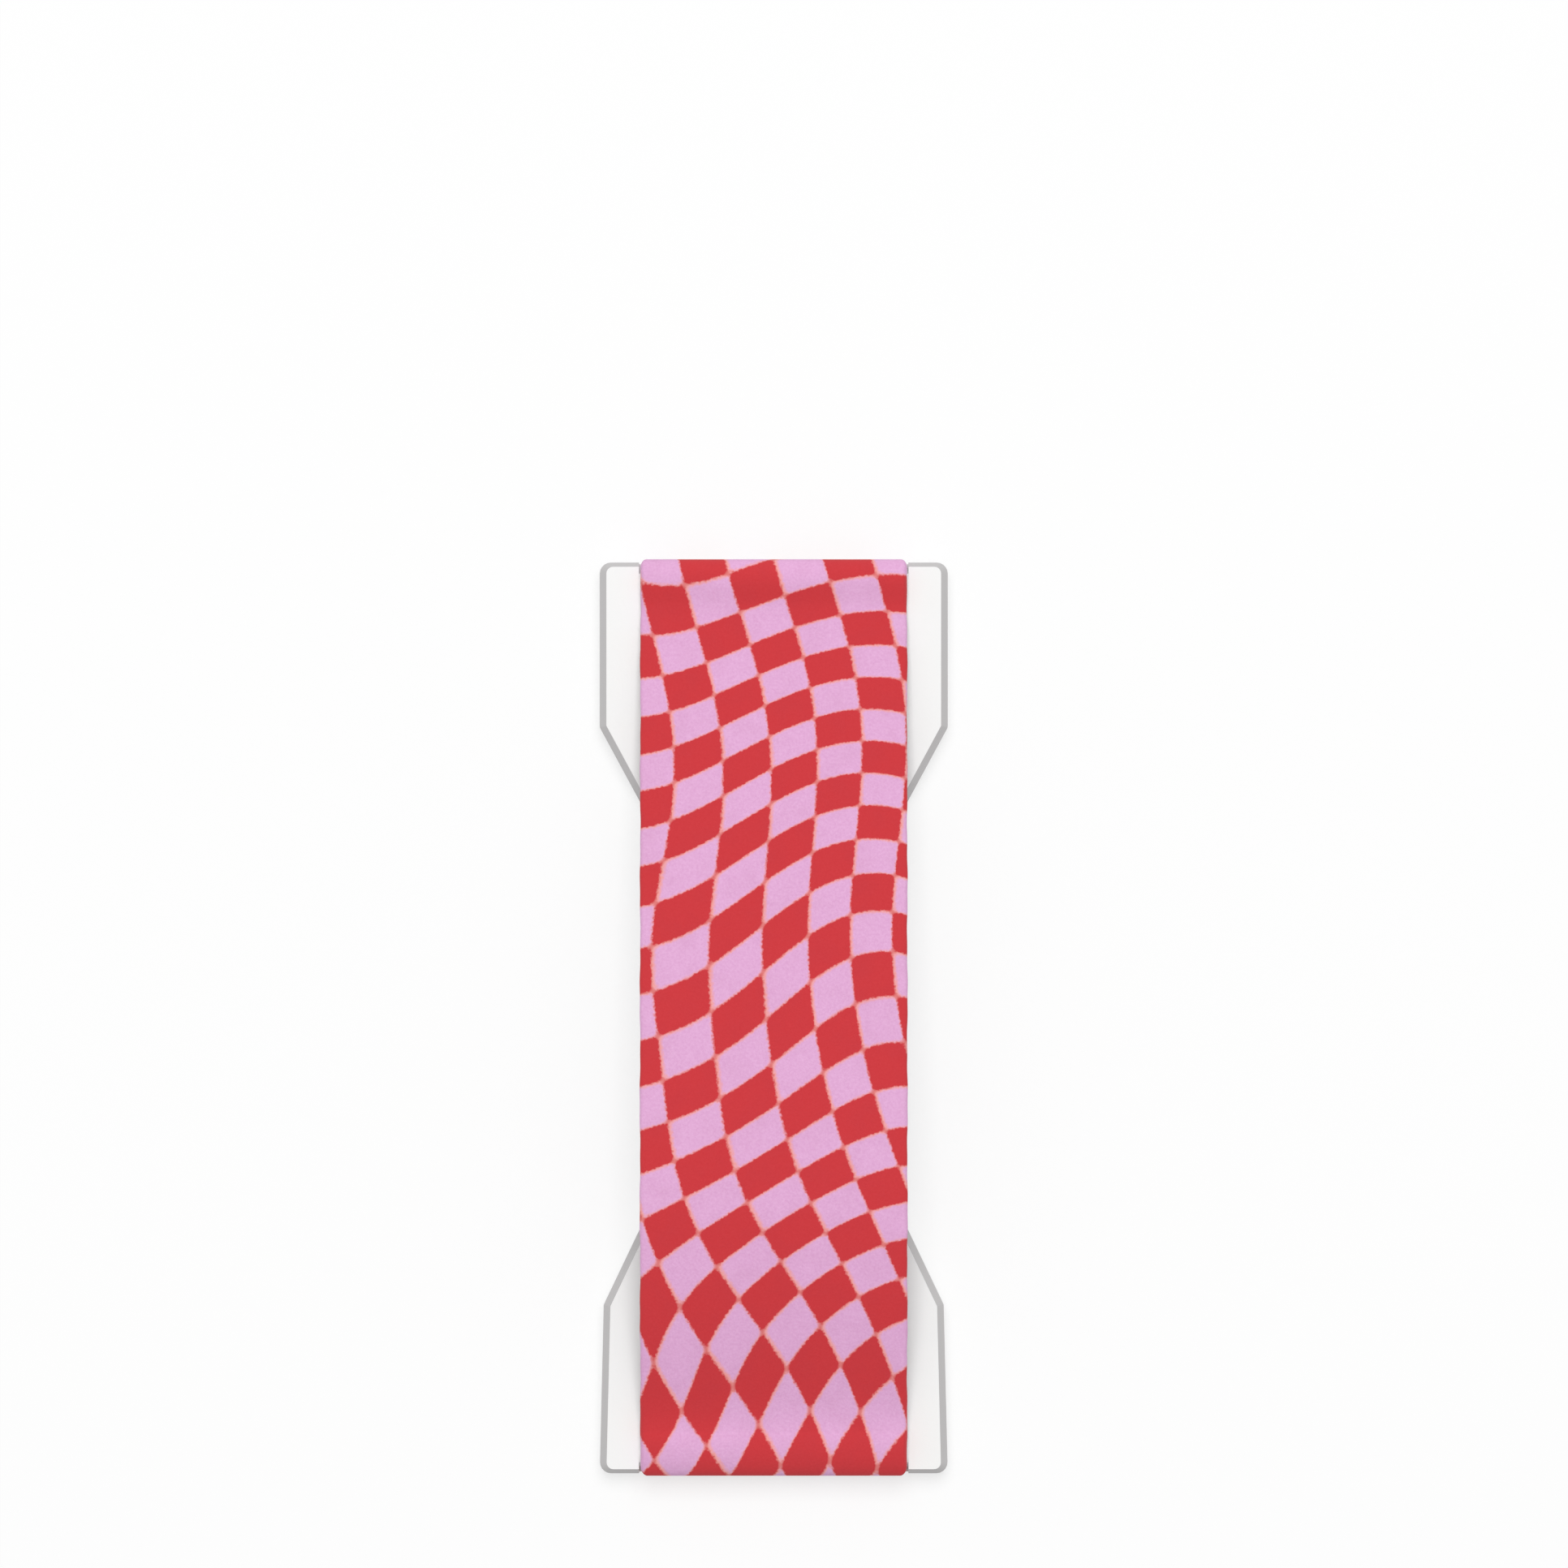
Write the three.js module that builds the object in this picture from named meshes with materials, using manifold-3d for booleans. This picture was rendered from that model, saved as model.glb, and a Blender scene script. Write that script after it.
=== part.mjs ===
// Phone finger strap: an elastic band wrapped over the two end bars of a waisted base plate, which
// sticks to the back of a phone. A finger goes between the band and the plate.
// Millimetres. X runs across the strap, Y along it towards the phone's upper end, and Z out of the
// phone. The origin is at the middle of the adhesive's underside.
import * as THREE from "three";
import { mergeVertices } from "three/addons/utils/BufferGeometryUtils.js";
import Module from "manifold-3d";

// Elastic strap
const strapWidth = 27.8;
const strapThickness = 0.9;
const tailLength = 11; // straight end of the band, clamped under the plate
const crestLength = 2; // flat stretch that lies on each end bar
const fingerGap = 6; // from the plate up to the strap, at the top of its bow
const bowTop = -17; // place of that top along the strap, nearer the lower end
const barBend = 3; // reach of the bend where the strap leaves an end bar
const upperCrown = 20; // reach of the bow's rounded top towards the upper end
const lowerCrown = 14; // and towards the lower end

// Base plate, seen from above
const baseLength = 95;
const earReach = 4.25; // how far each ear stands out beside the strap
const earLean = 0.42; // how much narrower a lower ear is at its shoulder than at its end
const upperEarLength = 17.2;
const lowerEarLength = 17.6;
const upperTaperAngle = 28.4; // degrees from the strap's length
const lowerTaperAngle = 25.5;
const waistWidth = 23;
const cornerRadius = 1.15;
const shoulderRadius = 0.6;
const waistRadius = 3;

// Base plate, seen from the side
const endBarThickness = 0.8;
const noseLength = 1.4; // length of the end bar's rounded nose
const rimWidth = 0.7; // bevel along the sides
const endRimWidth = 0.45; // bevel along the two ends
const rimDepth = 0.75;

// Backing plate and adhesive
const backingThickness = 0.5;
const backingInset = 0.15;
const adhesiveThickness = 0.6;
const adhesiveInset = 0.5;

// Pins that join the two plates and hold the strap's ends
const pinRadius = 0.9;
const tailPinSpacing = 9;
const waistPinSpacing = 24;

// Clearances
const fitGap = 0.05; // around the strap where it passes the plates
const sideClearance = 0.15; // between the strap's edges and the ears
const tailEndClearance = 0.35;
const pinClearance = 0.1; // around a pin in the backing plate
const punchClearance = 0.15; // around a pin in the strap
const pinSetback = 0.05; // from a pin's tip to the adhesive
const wrapProud = 0.2; // how far the wrapped strap stands out past the ears

// Facets
const cornerSteps = 5;
const noseSteps = 12;
const bowSteps = 16;
const edgeSteps = 4;
const pinSides = 20;

// Heights, from the phone outwards
const backingBottom = adhesiveThickness;
const plateBottom = backingBottom + backingThickness;
const pocketCeiling = plateBottom + strapThickness + 2 * fitGap;
const plateTop = pocketCeiling + endBarThickness;
const barMiddle = (pocketCeiling + plateTop) / 2;

// Places along the strap, from the middle to either end
const strapEnd = baseLength / 2 + wrapProud;
const noseTip = strapEnd - strapThickness - fitGap;
const noseRoot = noseTip - noseLength;
const tailEnd = noseRoot - tailLength;
const pocketEnd = tailEnd - tailEndClearance;
const tailPinPlace = (tailEnd + noseRoot) / 2;
const crestEnd = noseRoot - crestLength;

// Widths across the strap
const notchWidth = strapWidth + 2 * sideClearance;
const endWidth = strapWidth + 2 * earReach;
const earPinPlace = (notchWidth + endWidth) / 4;

const cutMargin = 1; // how far a cutting block reaches past what it cuts

const wasm = await Module();
wasm.setup();

// Booleans

function toSolid(geometry) {
  const bare = geometry.clone();
  bare.deleteAttribute("normal");
  bare.deleteAttribute("uv");
  const merged = mergeVertices(bare, 1e-4);
  return new wasm.Manifold(
    new wasm.Mesh({
      numProp: 3,
      vertProperties: merged.attributes.position.array,
      triVerts: new Uint32Array(merged.index.array),
    }),
  );
}

function toGeometry(solid) {
  const mesh = solid.getMesh();
  const geometry = new THREE.BufferGeometry();
  geometry.setAttribute("position", new THREE.BufferAttribute(mesh.vertProperties, 3));
  geometry.setIndex(new THREE.BufferAttribute(mesh.triVerts, 1));
  const flat = geometry.toNonIndexed();
  flat.computeVertexNormals();
  return flat;
}

// A block given by its lowest and highest corner.
function block(low, high) {
  const size = new THREE.Vector3().subVectors(high, low);
  const middle = new THREE.Vector3().addVectors(low, high).multiplyScalar(0.5);
  const geometry = new THREE.BoxGeometry(size.x, size.y, size.z);
  return toSolid(geometry.translate(middle.x, middle.y, middle.z));
}

// An upright cylinder at (x, y), from one height to another.
function post(x, y, radius, bottom, top) {
  const geometry = new THREE.CylinderGeometry(radius, radius, top - bottom, pinSides);
  geometry.rotateX(Math.PI / 2);
  return toSolid(geometry.translate(x, y, (bottom + top) / 2));
}

// Lofting

function turn(a, b, c) {
  return (b.x - a.x) * (c.y - a.y) - (b.y - a.y) * (c.x - a.x);
}

// A closed solid through rings of equal count. The section is a ring drawn flat, running
// counter-clockwise as seen from the last ring, and it is used to fill both ends.
function loft(rings, section) {
  const count = section.length;
  const positions = rings.flat().flatMap((p) => [p.x, p.y, p.z]);
  const triangles = [];
  for (let level = 0; level + 1 < rings.length; level++) {
    for (let i = 0; i < count; i++) {
      const a = level * count + i;
      const b = level * count + ((i + 1) % count);
      triangles.push(a, b, b + count, a, b + count, a + count);
    }
  }
  const last = (rings.length - 1) * count;
  for (const [a, p, q] of THREE.ShapeUtils.triangulateShape(section, [])) {
    const [b, c] = turn(section[a], section[p], section[q]) > 0 ? [p, q] : [q, p];
    triangles.push(a, c, b, last + a, last + b, last + c);
  }
  const geometry = new THREE.BufferGeometry();
  geometry.setAttribute("position", new THREE.Float32BufferAttribute(positions, 3));
  geometry.setIndex(triangles);
  return toSolid(geometry);
}

// The outline of the base

const tangent = (degrees) => Math.tan(THREE.MathUtils.degToRad(degrees));

// The twelve corners, counter-clockwise from the upper right. Each edge belongs to the corner that
// it leaves, and only the two end edges are ends.
function outlineCorners() {
  const end = baseLength / 2;
  const half = endWidth / 2;
  const waist = waistWidth / 2;
  const lowerShoulder = half - earLean;
  const upperShoulderY = end - upperEarLength;
  const lowerShoulderY = -end + lowerEarLength;
  const upperWaistY = upperShoulderY - (half - waist) / tangent(upperTaperAngle);
  const lowerWaistY = lowerShoulderY + (lowerShoulder - waist) / tangent(lowerTaperAngle);
  const left = [
    { x: -half, y: end, radius: cornerRadius },
    { x: -half, y: upperShoulderY, radius: shoulderRadius },
    { x: -waist, y: upperWaistY, radius: waistRadius },
    { x: -waist, y: lowerWaistY, radius: waistRadius },
    { x: -lowerShoulder, y: lowerShoulderY, radius: shoulderRadius },
    { x: -half, y: -end, radius: cornerRadius, leavesAlongEnd: true },
  ];
  const right = left.map((corner) => ({ ...corner, x: -corner.x })).reverse();
  right[0].leavesAlongEnd = false;
  right[right.length - 1].leavesAlongEnd = true;
  return [...left, ...right];
}

// Where the edges into and out of a corner meet when each has moved inwards by its own inset.
function insetCorner(before, corner, after, insetIn, insetOut) {
  const inward = new THREE.Vector2(corner.x - before.x, corner.y - before.y).normalize();
  const outward = new THREE.Vector2(after.x - corner.x, after.y - corner.y).normalize();
  const normalIn = new THREE.Vector2(-inward.y, inward.x);
  const normalOut = new THREE.Vector2(-outward.y, outward.x);
  const sine = inward.cross(outward);
  const cosine = inward.dot(outward);
  const alongIn = (insetIn * cosine - insetOut) / sine;
  const moved = new THREE.Vector2(corner.x, corner.y).addScaledVector(normalIn, insetIn);
  moved.addScaledVector(inward, alongIn);
  return { point: moved, inward, outward, normalIn, normalOut, sine, cosine };
}

// The outline as points, with every corner rounded by an arc of the same number of steps.
function outline(sideInset, endInset) {
  const corners = outlineCorners();
  const points = [];
  corners.forEach((corner, i) => {
    const before = corners[(i + corners.length - 1) % corners.length];
    const after = corners[(i + 1) % corners.length];
    const insetIn = before.leavesAlongEnd ? endInset : sideInset;
    const insetOut = corner.leavesAlongEnd ? endInset : sideInset;
    const at = insetCorner(before, corner, after, insetIn, insetOut);
    const bulges = Math.sign(at.sine); // 1 at an outer corner, -1 at the waist
    const change = bulges * Math.min(insetIn, insetOut);
    const radius = Math.max(corner.radius - change, corner.radius / 4);
    const sweep = Math.atan2(at.sine, at.cosine);
    const setback = radius * Math.abs(Math.tan(sweep / 2));
    const centre = at.point.clone().addScaledVector(at.inward, -setback);
    centre.addScaledVector(at.normalIn, bulges * radius);
    const spoke = at.normalIn.clone().multiplyScalar(-bulges * radius);
    for (let step = 0; step <= cornerSteps; step++) {
      const turned = spoke.clone().rotateAround(new THREE.Vector2(), (sweep * step) / cornerSteps);
      points.push(centre.clone().add(turned));
    }
  });
  return points;
}

// A plate of the base's outline through levels of height and inset.
function plateThrough(levels) {
  const rings = levels.map(({ z, sideInset, endInset }) =>
    outline(sideInset, endInset).map((p) => new THREE.Vector3(p.x, p.y, z)),
  );
  return loft(rings, outline(levels[0].sideInset, levels[0].endInset));
}

function flatPlate(bottom, top, inset) {
  return plateThrough([
    { z: bottom, sideInset: inset, endInset: inset },
    { z: top, sideInset: inset, endInset: inset },
  ]);
}

// Pins

const ends = [1, -1]; // the upper and the lower end of the strap

function tailPinPlaces() {
  return ends.flatMap((end) =>
    [-1, 0, 1].map((column) => [column * tailPinSpacing, end * tailPinPlace]),
  );
}

function platePinPlaces() {
  const ears = ends.flatMap((end) => [-1, 1].map((side) => [side * earPinPlace, end * tailPinPlace]));
  const waist = ends.map((end) => [0, (end * waistPinSpacing) / 2]);
  return [...ears, ...waist];
}

// The pieces

// The end bar's section from its root to its rounded nose, carried across the notch.
function endBar() {
  const root = noseRoot - cutMargin;
  const section = new THREE.Shape();
  section.moveTo(root, pocketCeiling);
  section.lineTo(noseRoot, pocketCeiling);
  section.absellipse(noseRoot, barMiddle, noseLength, endBarThickness / 2, -Math.PI / 2, Math.PI / 2);
  section.lineTo(root, plateTop);
  const across = notchWidth + cutMargin;
  const geometry = new THREE.ExtrudeGeometry(section, {
    depth: across,
    bevelEnabled: false,
    curveSegments: noseSteps,
  });
  const axes = new THREE.Matrix4().makeBasis(
    new THREE.Vector3(0, 1, 0),
    new THREE.Vector3(0, 0, 1),
    new THREE.Vector3(1, 0, 0),
  );
  return toSolid(geometry.applyMatrix4(axes).translate(-across / 2, 0, 0));
}

// The notch that the strap wraps through and the pocket that its tail lies in.
function endCut() {
  const half = notchWidth / 2;
  const outside = baseLength / 2 + cutMargin;
  const notch = block(
    new THREE.Vector3(-half, noseRoot, plateBottom - cutMargin),
    new THREE.Vector3(half, outside, plateTop + cutMargin),
  );
  const pocket = block(
    new THREE.Vector3(-half, pocketEnd, plateBottom - cutMargin),
    new THREE.Vector3(half, outside, pocketCeiling),
  );
  return notch.add(pocket);
}

function basePlate() {
  const rimBottom = plateTop - rimDepth;
  let plate = plateThrough([
    { z: plateBottom, sideInset: 0, endInset: 0 },
    { z: rimBottom, sideInset: 0, endInset: 0 },
    { z: plateTop, sideInset: rimWidth, endInset: endRimWidth },
  ]);
  for (const end of ends) {
    const facing = end > 0 ? 0 : 180;
    plate = plate.subtract(endCut().rotate([0, 0, facing]));
    plate = plate.add(endBar().rotate([0, 0, facing]));
  }
  const tip = backingBottom + pinSetback;
  for (const [x, y] of [...tailPinPlaces(), ...platePinPlaces()]) {
    plate = plate.add(post(x, y, pinRadius, tip, barMiddle));
  }
  return plate;
}

function backingPlate() {
  let plate = flatPlate(backingBottom, plateBottom, backingInset);
  for (const [x, y] of [...tailPinPlaces(), ...platePinPlaces()]) {
    const hole = post(x, y, pinRadius + pinClearance, backingBottom - cutMargin, plateBottom + cutMargin);
    plate = plate.subtract(hole);
  }
  return plate;
}

// The two sides of the bow, each heading towards the lower end: up from the upper end bar to the
// bow's top, and down from there to the lower bar. A point's x is its place along the strap.
function bowSides(barHeight) {
  const point = (place, height) => new THREE.Vector2(place, height);
  const topHeight = plateTop + fingerGap;
  const top = point(bowTop, topHeight);
  return [
    new THREE.CubicBezierCurve(
      point(crestEnd, barHeight),
      point(crestEnd - barBend, barHeight),
      point(bowTop + upperCrown, topHeight),
      top,
    ),
    new THREE.CubicBezierCurve(
      top,
      point(bowTop - lowerCrown, topHeight),
      point(-crestEnd + barBend, barHeight),
      point(-crestEnd, barHeight),
    ),
  ];
}

// The strap's inner side from one tail's end to the other's, as places on the strap's middle plane,
// each with the direction out of the strap's outer side.
function strapPath() {
  const path = [];
  const bar = { length: noseLength + fitGap, height: endBarThickness / 2 + fitGap };
  const station = (y, z, outY, outZ) => {
    const size = Math.hypot(outY, outZ);
    path.push({ y, z, outY: outY / size, outZ: outZ / size });
  };
  const nose = (end, angle) => {
    const out = Math.cos(angle);
    const up = Math.sin(angle);
    station(
      end * (noseRoot + bar.length * out),
      barMiddle + bar.height * up,
      (end * out) / bar.length,
      up / bar.height,
    );
  };
  const bow = (side, share) => {
    const point = side.getPoint(share);
    const heading = side.getTangent(share);
    station(point.x, point.y, heading.y, -heading.x);
  };
  const [upperSide, lowerSide] = bowSides(barMiddle + bar.height);
  station(tailEnd, barMiddle - bar.height, 0, -1);
  for (let step = 0; step <= noseSteps; step++) {
    nose(1, Math.PI * (step / noseSteps - 0.5));
  }
  for (let step = 0; step < bowSteps; step++) {
    bow(upperSide, step / bowSteps);
  }
  for (let step = 0; step <= bowSteps; step++) {
    bow(lowerSide, step / bowSteps);
  }
  for (let step = noseSteps; step >= 0; step--) {
    nose(-1, Math.PI * (step / noseSteps - 0.5));
  }
  station(-tailEnd, barMiddle - bar.height, 0, -1);
  return path;
}

// The band's section: across, and out from its inner side, with half-round edges.
function strapSection() {
  const radius = strapThickness / 2;
  const reach = strapWidth / 2 - radius;
  const section = [];
  for (const side of [1, -1]) {
    for (let step = 0; step <= edgeSteps; step++) {
      const angle = Math.PI * (step / edgeSteps - 0.5);
      const x = side * (reach + radius * Math.cos(angle));
      section.push(new THREE.Vector2(x, radius + side * radius * Math.sin(angle)));
    }
  }
  return section;
}

function elasticStrap() {
  const section = strapSection();
  const rings = strapPath().map(({ y, z, outY, outZ }) =>
    section.map((p) => new THREE.Vector3(p.x, y + outY * p.y, z + outZ * p.y)),
  );
  let strap = loft(rings, section);
  for (const [x, y] of tailPinPlaces()) {
    strap = strap.subtract(post(x, y, pinRadius + punchClearance, plateBottom - cutMargin, barMiddle));
  }
  return strap;
}

function adhesivePad() {
  return flatPlate(0, adhesiveThickness, adhesiveInset);
}

// The object

const whitePlastic = { color: 0xf4f4f3, roughness: 0.45, metalness: 0 };
const backingPlastic = { color: 0xe9e9e7, roughness: 0.55, metalness: 0 };
const foamTape = { color: 0xc9cac8, roughness: 0.8, metalness: 0 };
const printedElastic = { color: 0xd8697f, roughness: 0.85, metalness: 0 };

function piece(name, solid, finish) {
  const mesh = new THREE.Mesh(toGeometry(solid), new THREE.MeshStandardMaterial(finish));
  mesh.name = name;
  return mesh;
}

const fingerStrap = new THREE.Group();
fingerStrap.add(
  piece("adhesive_pad", adhesivePad(), foamTape),
  piece("backing_plate", backingPlate(), backingPlastic),
  piece("base_plate", basePlate(), whitePlastic),
  piece("elastic_strap", elasticStrap(), printedElastic),
);

export default fingerStrap;
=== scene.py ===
import bmesh
import bpy
import numpy as np
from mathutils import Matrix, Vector


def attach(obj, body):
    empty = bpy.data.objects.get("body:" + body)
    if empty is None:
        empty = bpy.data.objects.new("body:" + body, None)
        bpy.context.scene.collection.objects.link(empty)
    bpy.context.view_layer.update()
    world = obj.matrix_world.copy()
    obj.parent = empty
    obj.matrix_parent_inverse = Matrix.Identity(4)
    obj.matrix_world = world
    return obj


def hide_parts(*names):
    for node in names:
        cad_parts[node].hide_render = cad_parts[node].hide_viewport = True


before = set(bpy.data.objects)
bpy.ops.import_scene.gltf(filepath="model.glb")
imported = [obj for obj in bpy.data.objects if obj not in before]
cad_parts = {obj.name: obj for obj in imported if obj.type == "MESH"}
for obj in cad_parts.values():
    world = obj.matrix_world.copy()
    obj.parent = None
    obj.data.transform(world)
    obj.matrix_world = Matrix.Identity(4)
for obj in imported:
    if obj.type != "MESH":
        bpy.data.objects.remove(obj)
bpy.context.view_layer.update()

MM = 0.001

# The strap's sizes, in millimetres, as in the solids
STRAP_WIDTH = 27.8
STRAP_THICKNESS = 0.9
TAIL_LENGTH = 11.0
CREST_LENGTH = 2.0
BOW_PLACE = -17.0
BOW_HEIGHT = 8.9
BAR_BEND = 3.0
UPPER_CROWN = 20.0
LOWER_CROWN = 14.0

# The end bar that the strap wraps, with the small gap round it
BAR_ROOT = 45.35
BAR_REACH = 1.45
BAR_MIDDLE = 2.5
BAR_HALF = 0.45

# The share of the strap's width that its round edges take
ROUND_PART = STRAP_THICKNESS / STRAP_WIDTH

# How many steps each stretch of the strap's path has, and how many points its section has at a
# round edge and across
TAIL_STEPS = 16
BAR_STEPS = 40
REST_STEPS = 8
RISE_STEPS = 170
FALL_STEPS = 90
EDGE_POINTS = 7
ACROSS_POINTS = 62

# How the cloth departs from a plain band. It swells over each end bar: the swelling's place along
# the strap, its height and its reach. It narrows a little round the bar's nose. And its edges are
# slightly wavy: each wave's height, its turn per millimetre and where it starts.
SWELLINGS = (
    (45.8, 0.6, 2.3),
    (-44.4, 0.6, 2.6),
)
NOSE_PINCH = 0.25
EDGE_WAVES = (
    (0.03, 0.55, 0.0),
    (0.02, 1.7, 1.0),
)

# The check: an even slanted grid of columns and rows, pushed by soft round pushes. Each push has
# its middle across and along the cloth, its reach, and what it adds to the column and the row.
CHECK_COLUMN = (0.83, 0.238, 0.043)
CHECK_ROW = (6.48, -0.132, -0.081)
CHECK_PUSHES = (
    (-21, 8, 17, 1.9, 0.2),
    (17, -52, 37, 0.9, 22.2),
    (-8, 44, 33, 2.1, -8.6),
    (6, 35, 25, -1.2, 6.0),
    (13, 9, 21, 1.3, 4.2),
    (8, -51, 24, -0.4, -8.4),
    (-15, -18, 21, 2.8, -0.4),
    (-19, -45, 17, 1.7, -2.9),
    (25, -10, 21, 0.9, 2.6),
)

# The print's borders, in shares of a cell: how ragged they are, and how far from a border a cell
# counts as full
RAGGED = 0.09
FULL_FROM = 0.12

# The base's edges: how far they are softened, and the angle from which an edge is sharp. The
# rim's faces are those whose direction has an upward part between two limits, above a height.
# The rim's grey finish is painted shade on the bevel.
SOFTENED = 0.07
SHARP_ANGLE = np.radians(28)
RIM_SLOPES = (0.25, 0.97)
RIM_FROM = 2.0


def screen(red, green, blue):
    """A colour as seen on a screen, 0 to 255, as the amounts of light that the shaders use."""
    parts = np.array([red, green, blue]) / 255
    light = np.where(parts <= 0.04045, parts / 12.92, ((parts + 0.055) / 1.055) ** 2.4)
    return (*light.tolist(), 1.0)


RED_LOW = screen(205, 53, 59)
RED_HIGH = screen(212, 62, 68)
PINK_LOW = screen(218, 157, 204)
PINK_HIGH = screen(241, 191, 230)
BARE_GROUND = screen(249, 163, 147)
DARK_NAP = (0.30, 0.05, 0.08, 1.0)
UNDYED = screen(226, 214, 218)
# The undyed side's painted shade, in the hollows of its weave
UNDYED_PAINTED_SHADE = screen(196, 178, 186)
WHITE_PLASTIC = screen(248, 248, 247)
# The rim's grey: painted shade on the base's bevelled rim
RIM_PAINTED_SHADE = screen(198, 196, 196)
BACKING = screen(232, 232, 230)
# The foam's colour, darkened as painted shade in the cells' dimpled middles, and at the cells' walls
FOAM = screen(205, 206, 203)
FOAM_CELL = screen(226, 227, 224)

# The floor: half its width, how far it lies below the strap, and the share of its white that the
# lamps give it, where shadows show
FLOOR_HALF = 1500.0
FLOOR_DROP = 0.02
FLOOR_SHADED = 0.35

# The even light from all round, on the strap and as the camera sees it
SURROUND = 0.5
SURROUND_SEEN = 1.0

# The lamp over the strap's upper end: its width and its place in metres, and its power
SOFTBOX_SIZE = 1.4
SOFTBOX_PLACE = (0.0, 0.84, 1.9)
SOFTBOX_POWER = 25.0

# The camera: its lens and sensor, the frame's width at the base's upper face, and its middle
LENS = 400
SENSOR = 36
FRAME_WIDTH = 163.5
FRAME_MIDDLE = (1.07, 24.4)
BASE_TOP = 2.9


class Wire:
    """A value in a finish. Arithmetic on it adds Math nodes to that finish."""

    def __init__(self, finish, socket):
        self.finish = finish
        self.socket = socket

    def __add__(self, other):
        return self.finish.maths("ADD", self, other)

    def __radd__(self, other):
        return self.finish.maths("ADD", other, self)

    def __sub__(self, other):
        return self.finish.maths("SUBTRACT", self, other)

    def __rsub__(self, other):
        return self.finish.maths("SUBTRACT", other, self)

    def __mul__(self, other):
        return self.finish.maths("MULTIPLY", self, other)

    def __rmul__(self, other):
        return self.finish.maths("MULTIPLY", other, self)

    def __truediv__(self, other):
        return self.finish.maths("DIVIDE", self, other)


class Finish:
    """A new material, or the surround, built from nodes that end in one shader."""

    def __init__(self, name, kind=bpy.data.materials):
        self.made = kind.new(name)
        self.made.use_nodes = True
        self.tree = self.made.node_tree
        self.tree.nodes.clear()

    def node(self, kind, settings, sockets, output=0):
        """A node of that kind: its settings come first, then its sockets' values or wires. Gives
        the wire from its named or numbered output, or from every one of them if output is all."""
        made = self.tree.nodes.new(kind)
        for name, value in settings.items():
            setattr(made, name, value)
        for name, value in sockets.items():
            if isinstance(value, Wire):
                self.tree.links.new(value.socket, made.inputs[name])
            else:
                made.inputs[name].default_value = value
        if output == "all":
            return [Wire(self, socket) for socket in made.outputs]
        return Wire(self, made.outputs[output])

    def maths(self, operation, *values):
        return self.node("ShaderNodeMath", {"operation": operation}, dict(enumerate(values)))

    def clamp(self, value, low, high):
        return self.node("ShaderNodeClamp", {}, {"Value": value, "Min": low, "Max": high})

    def mix(self, share, first, second):
        """The first colour, with that share of the second."""
        sockets = {0: share, 6: first, 7: second}
        return self.node("ShaderNodeMix", {"data_type": "RGBA"}, sockets, 2)

    def seen(self):
        """1 where the camera looks, itself or by way of a gloss or a glass, and 0 for other light."""
        kinds = ("Is Camera Ray", "Is Glossy Ray", "Is Transmission Ray")
        camera, gloss, glass = [self.node("ShaderNodeLightPath", {}, {}, kind) for kind in kinds]
        return self.clamp(camera + gloss + glass, 0.0, 1.0)

    def place(self):
        return self.node("ShaderNodeTexCoord", {}, {}, "Object")

    def noise(self, size, detail=2.0, roughness=0.5):
        """Cloudy noise from 0 to 1, whose clouds are about that many millimetres wide."""
        sockets = {"Vector": self.place(), "Scale": 1 / (size * MM)}
        sockets.update({"Detail": detail, "Roughness": roughness})
        return self.node("ShaderNodeTexNoise", {}, sockets)

    def bump(self, height, depth):
        """The surface's direction where height, from 0 to 1, stands up to depth millimetres."""
        sockets = {"Strength": 1.0, "Distance": depth * MM, "Height": height}
        return self.node("ShaderNodeBump", {}, sockets)

    def end(self, sockets, clear_behind=False):
        """The finished material. If clear_behind is set, its faces can't be seen from behind."""
        shader = self.node("ShaderNodeBsdfPrincipled", {}, sockets)
        if clear_behind:
            behind = self.node("ShaderNodeNewGeometry", {}, {}, "Backfacing")
            clear = self.node("ShaderNodeBsdfTransparent", {}, {})
            shader = self.node("ShaderNodeMixShader", {}, {0: behind, 1: shader, 2: clear})
        self.node("ShaderNodeOutputMaterial", {}, {"Surface": shader}, "all")
        return self.made


# The strap's shape


def straight(start, end, count):
    """Points from start towards end, which is left out, evenly spaced."""
    share = np.linspace(0, 1, count, endpoint=False)[:, None]
    return np.array(start) * (1 - share) + np.array(end) * share


def bar_wrap(end, count):
    """Half an ellipse round an end bar's nose, from under the bar to over it, for end 1 or -1, in
    even turns of its direction. The point facing a direction lies at each half axis squared times
    the direction's part along it, over the root of the sum of the squares of axis times part."""
    turn = np.linspace(-np.pi / 2, np.pi / 2, count, endpoint=False)
    reach = BAR_REACH * np.cos(turn)
    rise = BAR_HALF * np.sin(turn)
    size = np.hypot(reach, rise)
    along = end * (BAR_ROOT + BAR_REACH * reach / size)
    return np.column_stack([along, BAR_MIDDLE + BAR_HALF * rise / size])


def bend(first, second, third, fourth, count):
    """A cubic curve: four points weighted by the terms of ((1 - t) + t) cubed."""
    t = np.linspace(0, 1, count, endpoint=False)[:, None]
    ends = (1 - t) ** 3 * np.array(first) + t**3 * np.array(fourth)
    return ends + 3 * (1 - t) ** 2 * t * np.array(second) + 3 * (1 - t) * t**2 * np.array(third)


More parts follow.
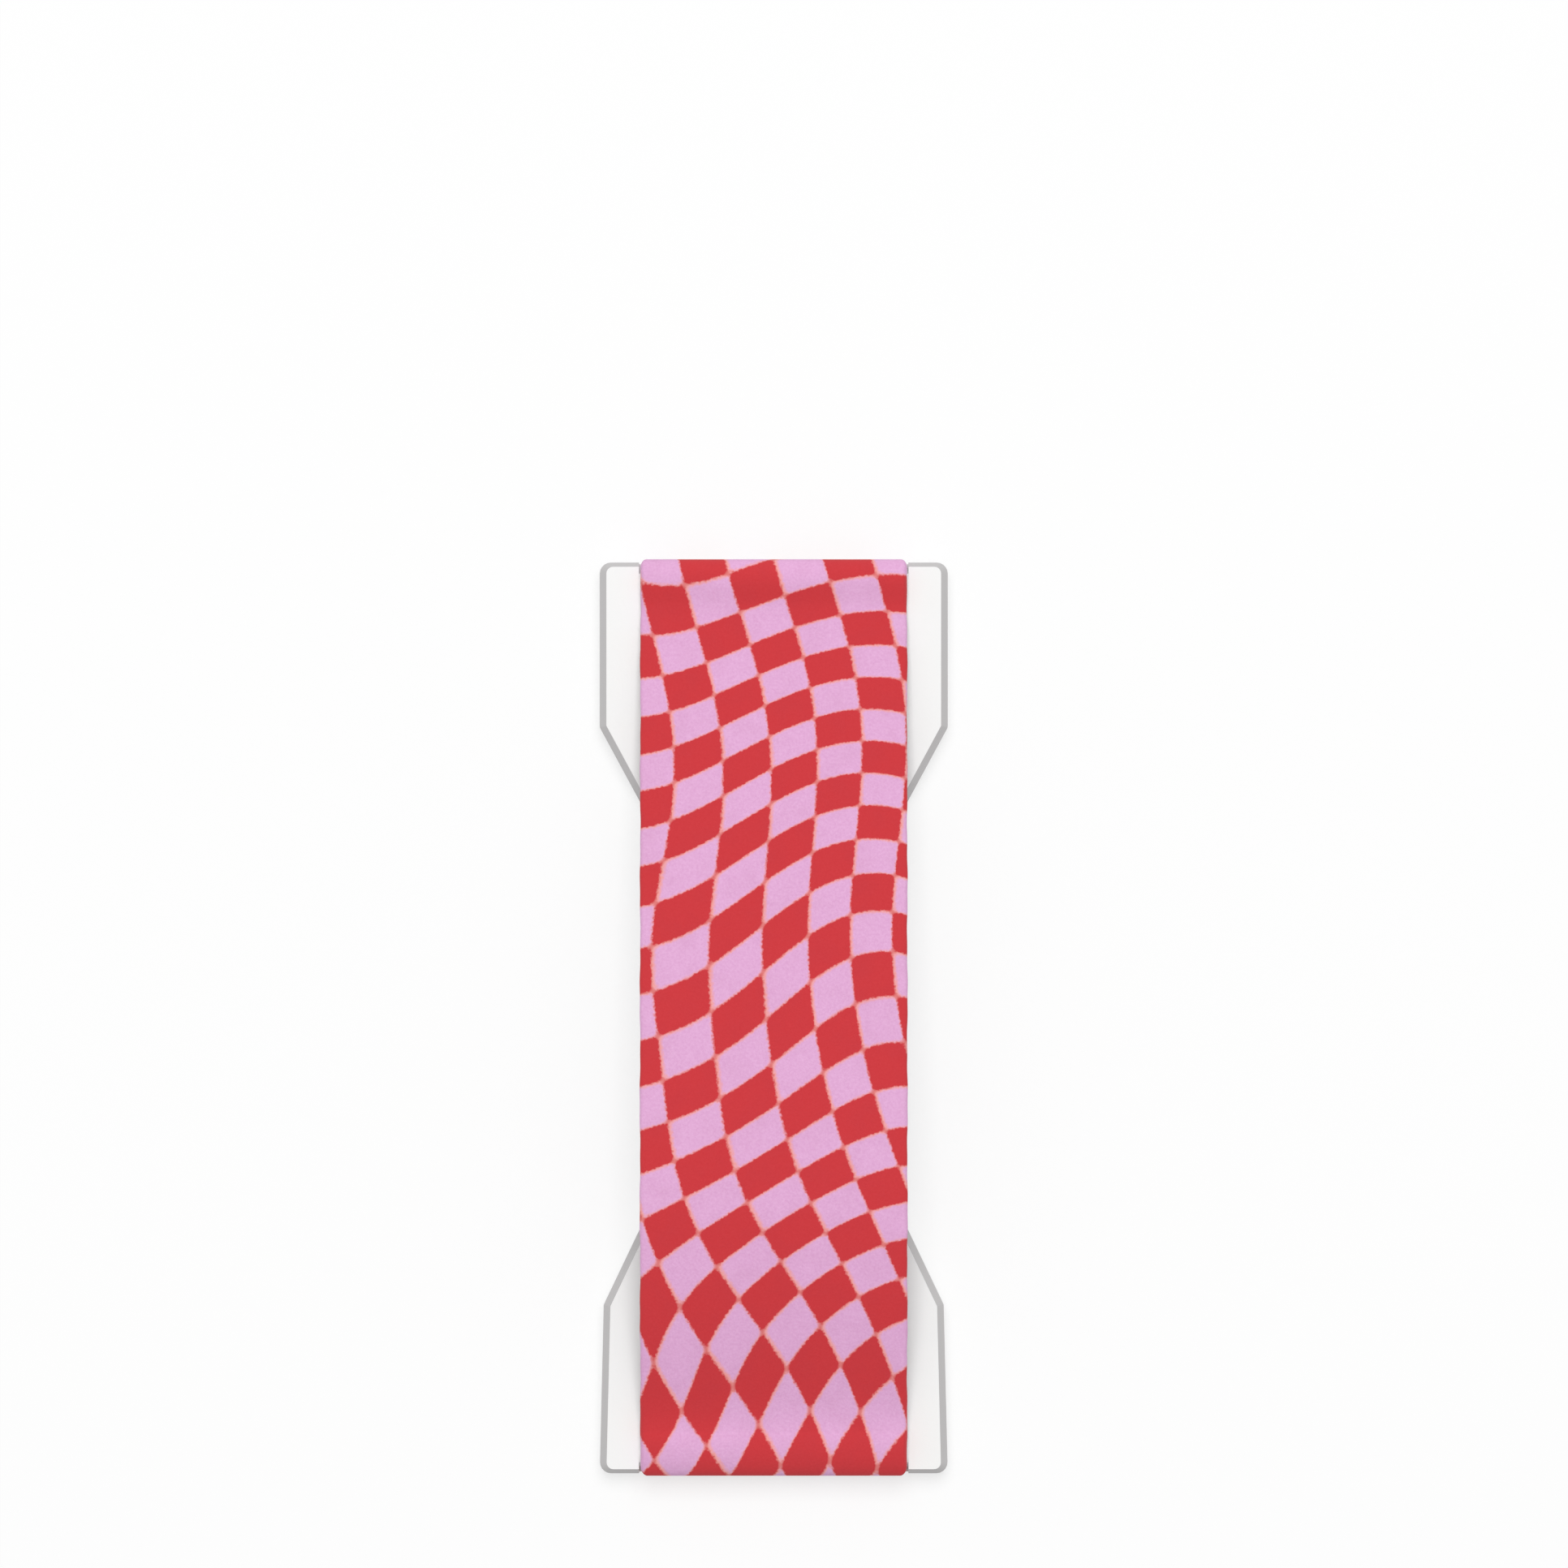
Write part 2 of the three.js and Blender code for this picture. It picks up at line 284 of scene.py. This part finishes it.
def strap_path():
    """The inner side of the strap as (along, height) points, from the upper tail's end over the
    upper bar, up to the bow's top, down to the lower bar and round it to the lower tail's end."""
    under = BAR_MIDDLE - BAR_HALF
    over = BAR_MIDDLE + BAR_HALF
    tail = BAR_ROOT - TAIL_LENGTH
    crest = BAR_ROOT - CREST_LENGTH
    top = (BOW_PLACE, BOW_HEIGHT)
    upper_in = (BOW_PLACE + UPPER_CROWN, BOW_HEIGHT)
    lower_out = (BOW_PLACE - LOWER_CROWN, BOW_HEIGHT)
    lower_wrap = bar_wrap(-1, BAR_STEPS)
    lower_over = np.vstack([[[-BAR_ROOT, over]], lower_wrap[:0:-1]])
    parts = [
        straight((tail, under), (BAR_ROOT, under), TAIL_STEPS),
        bar_wrap(1, BAR_STEPS),
        straight((BAR_ROOT, over), (crest, over), REST_STEPS),
        bend((crest, over), (crest - BAR_BEND, over), upper_in, top, RISE_STEPS),
        bend(top, lower_out, (BAR_BEND - crest, over), (-crest, over), FALL_STEPS),
        straight((-crest, over), (-BAR_ROOT, over), REST_STEPS),
        lower_over,
        straight((-BAR_ROOT, under), (-tail, under), TAIL_STEPS),
        [(-tail, under)],
    ]
    return np.vstack(parts)


def outward(path):
    """The direction out of the strap's outer side: the path's heading turned a quarter."""
    heading = np.gradient(path, axis=0)
    heading /= np.linalg.norm(heading, axis=1)[:, None]
    return np.column_stack([heading[:, 1], -heading[:, 0]])


def length_along(path):
    """How far each point of a path lies from its first one, measured along it."""
    steps = np.linalg.norm(np.diff(path, axis=0), axis=1)
    return np.concatenate([[0], np.cumsum(steps)])


def across_places():
    """Places across the strap from 1 to -1 of its half width, closer together at the edges, where
    the strap is round."""
    angle = np.linspace(0, np.pi / 2, EDGE_POINTS)
    edge = 1 - ROUND_PART + ROUND_PART * np.cos(angle)
    middle = np.linspace(1 - ROUND_PART, ROUND_PART - 1, ACROSS_POINTS)[1:-1]
    return np.concatenate([edge, middle, -edge[::-1]])


def check_place(across, along):
    """The check's column and row at a place on the cloth: a slanted even grid, plus each push times
    e to minus the square of the distance from its middle over its reach."""
    column = CHECK_COLUMN[0] + CHECK_COLUMN[1] * across + CHECK_COLUMN[2] * along
    row = CHECK_ROW[0] + CHECK_ROW[1] * across + CHECK_ROW[2] * along
    for middle_across, middle_along, reach, columns, rows in CHECK_PUSHES:
        distance = np.hypot(across - middle_across, along - middle_along)
        push = np.exp(-((distance / reach) ** 2))
        column = column + columns * push
        row = row + rows * push
    return column, row


def closed_band(stations, count):
    """Faces of a tube of that many stations, each a loop of count points, with both ends filled.
    A loop's first half runs across one side and its second half back across the other."""
    index = np.arange(stations * count).reshape(stations, count)
    ahead = np.roll(index, -1, axis=1)
    sides = np.stack([index[:-1], ahead[:-1], ahead[1:], index[1:]], axis=-1).reshape(-1, 4)
    half = count // 2
    near = np.arange(1, half - 1)
    cap = np.column_stack([near, near + 1, count - near - 1, count - near])
    tips = [[0, 1, count - 1], [half - 1, half, half + 1]]
    last = (stations - 1) * count
    first_end = [face[::-1] for face in cap.tolist() + tips]
    last_end = [[last + i for i in face] for face in cap.tolist() + tips]
    return sides.tolist() + first_end + last_end


def new_piece(name, points, faces):
    """A smooth mesh object of points in millimetres."""
    mesh = bpy.data.meshes.new(name)
    mesh.from_pydata((points * MM).tolist(), [], faces)
    mesh.shade_smooth()
    piece = bpy.data.objects.new(name, mesh)
    bpy.context.scene.collection.objects.link(piece)
    return piece


def section_loop():
    """The strap's section as a loop, along its outer side and back along its inner one: the place
    across, the side, and the share of half the thickness, rounded at the edges as a circle is."""
    places = across_places()
    inner = places[-2:0:-1]
    across = np.concatenate([places, inner])
    side = np.concatenate([np.ones(len(places)), -np.ones(len(inner))])
    into_edge = np.clip(np.abs(across) - (1 - ROUND_PART), 0, ROUND_PART) / ROUND_PART
    return across, side, side * np.sqrt(1 - into_edge**2)


def place_along(outer_line, out):
    """How far each point of the outer side lies up the cloth from the strap's middle, where the
    print's places count from."""
    along = length_along(outer_line)
    above = out[:, 1] > 0
    return np.interp(0, -outer_line[above, 0], along[above]) - along


def half_widths(along, out):
    """Half the strap's width at each point: even but for the edges' sine waves, and narrower round
    the bars' noses by the fourth power of how squarely it faces the strap's end."""
    half_width = STRAP_WIDTH / 2 - NOSE_PINCH * out[:, 0] ** 4
    for height, turn, start in EDGE_WAVES:
        half_width = half_width + height * np.sin(along * turn + start)
    return half_width


def swelling(outer_line, out):
    """How far the outer side swells at each point: over each end bar by a bell curve of the place,
    which fades where the strap turns down."""
    swell = np.zeros(len(outer_line))
    for middle, height, reach in SWELLINGS:
        swell += height * np.exp(-(((outer_line[:, 0] - middle) / reach) ** 2))
    return swell * np.clip(out[:, 1] + 0.3, 0, 1)


def make_strap():
    """The woven strap: its section carried along the path and standing out from it by its thickness
    and by its swelling."""
    path = strap_path()
    out = outward(path)
    outer_line = path + out * STRAP_THICKNESS
    along = place_along(outer_line, out)
    across, side, rise = section_loop()
    swell = swelling(outer_line, out)[:, None] * (side > 0)
    width = half_widths(along, out)[:, None] * across
    height = STRAP_THICKNESS / 2 + (STRAP_THICKNESS / 2 + swell) * rise
    place = path[:, None, 0] + out[:, None, 0] * height
    level = path[:, None, 1] + out[:, None, 1] * height
    points = np.stack([width, place, level], axis=-1).reshape(-1, 3)
    strap = new_piece("printed_strap", points, closed_band(len(path), len(across)))

    column, row = check_place(width, np.broadcast_to(along[:, None], width.shape))
    paint_check(strap.data, np.stack([column, row], axis=-1).reshape(-1, 2))
    strap.data.materials.append(printed_elastic())
    strap.data.materials.append(undyed_back())
    finishes = np.zeros(len(strap.data.polygons), dtype=np.int32)
    on_sides = (len(path) - 1) * len(across)
    finishes[:on_sides] = np.tile(side < 0, len(path) - 1)
    strap.data.polygons.foreach_set("material_index", finishes)
    middle_line = path + out * STRAP_THICKNESS / 2
    flat = (STRAP_WIDTH * MM, float(length_along(middle_line)[-1]) * MM)
    return strap, flat


def paint_check(mesh, places):
    """Keeps the check's column and row of every point as the mesh's own map."""
    corners = np.empty(len(mesh.loops), dtype=np.int32)
    mesh.loops.foreach_get("vertex_index", corners)
    layer = mesh.uv_layers.new(name="check")
    layer.data.foreach_set("uv", places[corners].astype(np.float32).ravel())


# Finishes


def printed_elastic():
    """Red and pink check on a soft brushed elastic. The pink stops short of the red, and lies a
    little right and down of it, so that a thin peach line of bare ground shows between them."""
    cloth = Finish("printed_elastic")
    check = cloth.node("ShaderNodeUVMap", {"uv_map": "check"}, {})
    column, row, _ = cloth.node("ShaderNodeSeparateXYZ", {}, {0: check}, "all")
    ragged = (cloth.noise(0.3) - 0.5) * RAGGED
    column = column + ragged
    row = row - ragged

    def red_share(right, down, spread, softness):
        """1 in the red cells, which are moved right and down and grown by spread, and 0 in the pink
        ones. Both come from the distances to the nearest borders, capped and multiplied."""
        product = FULL_FROM
        for place, shift in ((column, right), (row, down)):
            border = cloth.maths("PINGPONG", place - shift + 0.5, 1.0) - 0.5
            product = product * cloth.clamp(border / FULL_FROM, -1.0, 1.0)
        return cloth.clamp((product + spread) / (2 * softness) + 0.5, 0.0, 1.0)

    red = red_share(right=0.0, down=0.0, spread=0.0, softness=0.022)
    bare = red_share(right=0.024, down=0.010, spread=0.034, softness=0.035)
    nap = cloth.noise(0.26, 3.0, 0.6)
    cloudy = cloth.noise(2.6, 3.0, 0.55)
    pink_ink = cloth.mix(nap, PINK_LOW, PINK_HIGH)
    red_ink = cloth.mix(nap, RED_LOW, RED_HIGH)
    colour = cloth.mix(bare * 0.85, pink_ink, BARE_GROUND)
    colour = cloth.mix(red, colour, red_ink)
    colour = cloth.mix((cloudy - 0.45) * 0.22, colour, DARK_NAP)
    return cloth.end(
        {
            "Base Color": colour,
            "Roughness": 0.9,
            "Specular IOR Level": 0.2,
            "Sheen Weight": 0.08,
            "Sheen Roughness": 0.5,
            "Normal": cloth.bump(nap, 0.03),
        }
    )


def undyed_back():
    """The strap's unprinted inner side: fine ribs along the cloth, crossed by finer threads. Its
    colour
    darkens where the weave sinks: painted shade in the hollows.
    """
    back = Finish("undyed_back")
    across, along, _ = back.node("ShaderNodeSeparateXYZ", {}, {0: back.place()}, "all")
    ribs = back.maths("SINE", across * (2 * np.pi / (0.7 * MM))) * 0.5 + 0.5
    threads = back.maths("SINE", along * (2 * np.pi / (0.35 * MM))) * 0.5 + 0.5
    weave = ribs * 0.7 + threads * 0.3
    fuzz = back.noise(0.2)
    # Painted shade: the colour darkens where the weave's height is low
    colour = back.mix(weave * 0.6 + fuzz * 0.3, UNDYED_PAINTED_SHADE, UNDYED)
    return back.end(
        {
            "Base Color": colour,
            "Roughness": 0.9,
            "Specular IOR Level": 0.2,
            "Normal": back.bump(weave + fuzz * 0.3, 0.08),
        }
    )


def satin_plastic(name, colour, roughness, grain):
    """Moulded plastic with a fine even grain, which also varies its gloss a little."""
    plastic = Finish(name)
    fine = plastic.noise(0.25)
    broad = plastic.noise(9.0)
    shade = tuple(part * 0.94 for part in colour[:3]) + (1.0,)
    tone = plastic.mix(broad * 0.35 + fine * 0.15, colour, shade)
    return plastic.end(
        {
            "Base Color": tone,
            "Roughness": fine * 0.08 + (roughness - 0.04),
            "Specular IOR Level": 0.4,
            "Normal": plastic.bump(fine, grain),
        }
    )


def foam_tape():
    """Closed-cell foam: small round cells, dimpled, and darkest in their middles as painted shade in
    the dimples.
    """
    foam = Finish("foam_tape")
    sockets = {"Vector": foam.place(), "Scale": 1 / (0.28 * MM)}
    cells = foam.node("ShaderNodeTexVoronoi", {"feature": "F1"}, sockets)
    fine = foam.noise(0.12)
    height = cells * 0.8 + fine * 0.2
    # Painted shade: the colour is darkest where the cells' dimples are deepest
    colour = foam.mix(cells * 0.6, FOAM, FOAM_CELL)
    return foam.end(
        {
            "Base Color": colour,
            "Roughness": 0.75,
            "Specular IOR Level": 0.3,
            "Normal": foam.bump(height, 0.05),
        }
    )


# The base


def make_base():
    """The moulded base as the solids have it, with its edges softened and its bevelled rim as faces
    of their own finish, whose grey is painted shade on the bevel."""
    work = bmesh.new()
    work.from_mesh(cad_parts["base_plate"].data)
    bmesh.ops.remove_doubles(work, verts=work.verts, dist=0.002 * MM)
    bmesh.ops.dissolve_limit(
        work, angle_limit=np.radians(0.5), verts=work.verts, edges=work.edges, delimit=set()
    )
    for face in work.faces:
        low = min(vertex.co.z for vertex in face.verts)
        sloped = RIM_SLOPES[0] < face.normal.z < RIM_SLOPES[1]
        face.material_index = int(sloped and low > RIM_FROM * MM)
    mesh = bpy.data.meshes.new("moulded_base")
    work.to_mesh(mesh)
    work.free()
    mesh.materials.append(satin_plastic("white_plastic", WHITE_PLASTIC, 0.42, 0.006))
    # The rim's finish is grey: painted shade on the bevel
    mesh.materials.append(satin_plastic("rim_plastic_painted_shade", RIM_PAINTED_SHADE, 0.45, 0.006))
    base = bpy.data.objects.new("moulded_base", mesh)
    bpy.context.scene.collection.objects.link(base)
    mesh.shade_smooth()
    mesh.set_sharp_from_angle(angle=SHARP_ANGLE)
    softened = base.modifiers.new("softened_edges", "BEVEL")
    softened.width = SOFTENED * MM
    softened.segments = 2
    softened.limit_method = "ANGLE"
    softened.angle_limit = SHARP_ANGLE
    softened.harden_normals = True
    return base


# Floor, light and camera


def make_floor():
    """A wide flat floor just under the strap, seen from above alone. The camera sees its own white
    glow and, fainter, the strap's shadow on it."""
    across = FLOOR_HALF * np.array([-1, 1, 1, -1])
    along = FLOOR_HALF * np.array([-1, -1, 1, 1])
    corners = np.column_stack([across, along, np.full(4, -FLOOR_DROP)])
    floor = new_piece("floor", corners, [[0, 1, 2, 3]])
    paper = Finish("floor_paper")
    seen = paper.seen()
    shaded = (FLOOR_SHADED, FLOOR_SHADED, FLOOR_SHADED, 1.0)
    glow = (1 - FLOOR_SHADED, 1 - FLOOR_SHADED, 1 - FLOOR_SHADED, 1.0)
    matt = {
        "Base Color": paper.mix(seen, (0.8, 0.8, 0.8, 1.0), shaded),
        "Roughness": 1.0,
        "Specular IOR Level": 0.0,
        "Emission Color": paper.mix(seen, (0.0, 0.0, 0.0, 1.0), glow),
        "Emission Strength": 1.0,
    }
    floor.data.materials.append(paper.end(matt, clear_behind=True))


def make_light():
    """One wide soft lamp over the strap's upper end, and an even pale surround."""
    lamp = bpy.data.lights.new("softbox", "AREA")
    lamp.shape = "SQUARE"
    lamp.size = SOFTBOX_SIZE
    lamp.energy = SOFTBOX_POWER
    softbox = bpy.data.objects.new("softbox", lamp)
    softbox.location = SOFTBOX_PLACE
    aim = -Vector(SOFTBOX_PLACE)
    softbox.rotation_euler = aim.to_track_quat("-Z", "Y").to_euler()
    bpy.context.scene.collection.objects.link(softbox)
    surround = Finish("surround", bpy.data.worlds)
    strength = SURROUND + surround.seen() * (SURROUND_SEEN - SURROUND)
    sockets = {"Color": (1.0, 1.0, 1.0, 1.0), "Strength": strength}
    background = surround.node("ShaderNodeBackground", {}, sockets)
    surround.node("ShaderNodeOutputWorld", {}, {"Surface": background}, "all")
    bpy.context.scene.world = surround.made


def make_camera():
    """A long lens looking straight down, from where the frame has its width at the base's top."""
    lens = bpy.data.cameras.new("camera")
    lens.lens = LENS
    lens.sensor_width = SENSOR
    camera = bpy.data.objects.new("camera", lens)
    distance = FRAME_WIDTH * LENS / SENSOR
    camera.location = Vector((*FRAME_MIDDLE, distance + BASE_TOP)) * MM
    bpy.context.scene.collection.objects.link(camera)
    bpy.context.scene.camera = camera


strap, flat_size = make_strap()
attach(strap, "root")
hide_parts("elastic_strap")

base = make_base()
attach(base, "root")
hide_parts("base_plate")

plain_nodes = {
    "backing_plate": satin_plastic("backing_plastic", BACKING, 0.55, 0.008),
    "adhesive_pad": foam_tape(),
}
for name, material in plain_nodes.items():
    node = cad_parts[name]
    node.data.materials.clear()
    node.data.materials.append(material)

make_floor()
make_light()
make_camera()
bpy.context.scene.view_settings.view_transform = "Standard"
